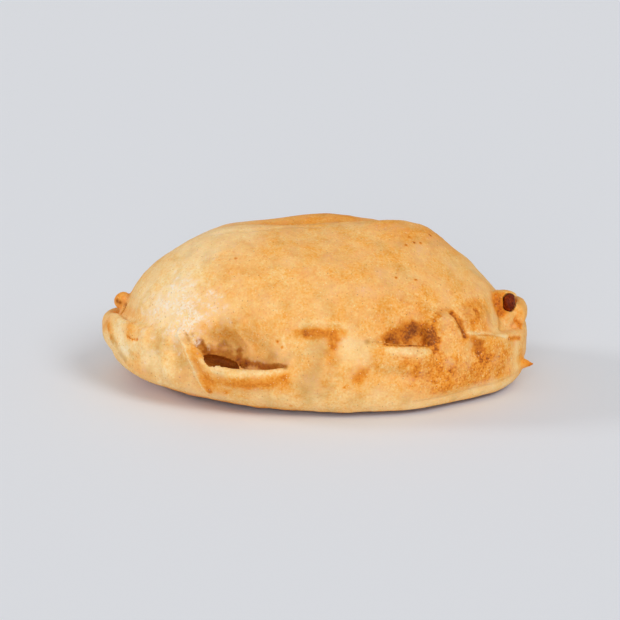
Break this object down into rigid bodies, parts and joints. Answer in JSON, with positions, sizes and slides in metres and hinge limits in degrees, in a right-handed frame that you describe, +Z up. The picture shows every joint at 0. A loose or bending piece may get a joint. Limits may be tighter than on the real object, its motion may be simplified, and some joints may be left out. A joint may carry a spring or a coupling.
{
  "type": "calzone",
  "caption": "Baked folded pocket of pizza dough with a puffed golden top, flat underside and a crimped, pleated front edge.",
  "frame": {"origin": "middle of the underside's bounding box, on the surface it rests on", "axes": "+X along the pocket to its right-hand tip, -Y towards the crimped front edge, +Z up"},
  "size_m": [0.1916, 0.1166, 0.0713],
  "materials": {
    "crust": "dry matt baked crust, golden with pale floury and browned places",
    "burnt_filling": "dark caramelised filling, half glossy"
  },
  "bodies": {
    "root": {"crust": "crust", "filling_bead": "burnt_filling"}
  },
  "joints": []
}
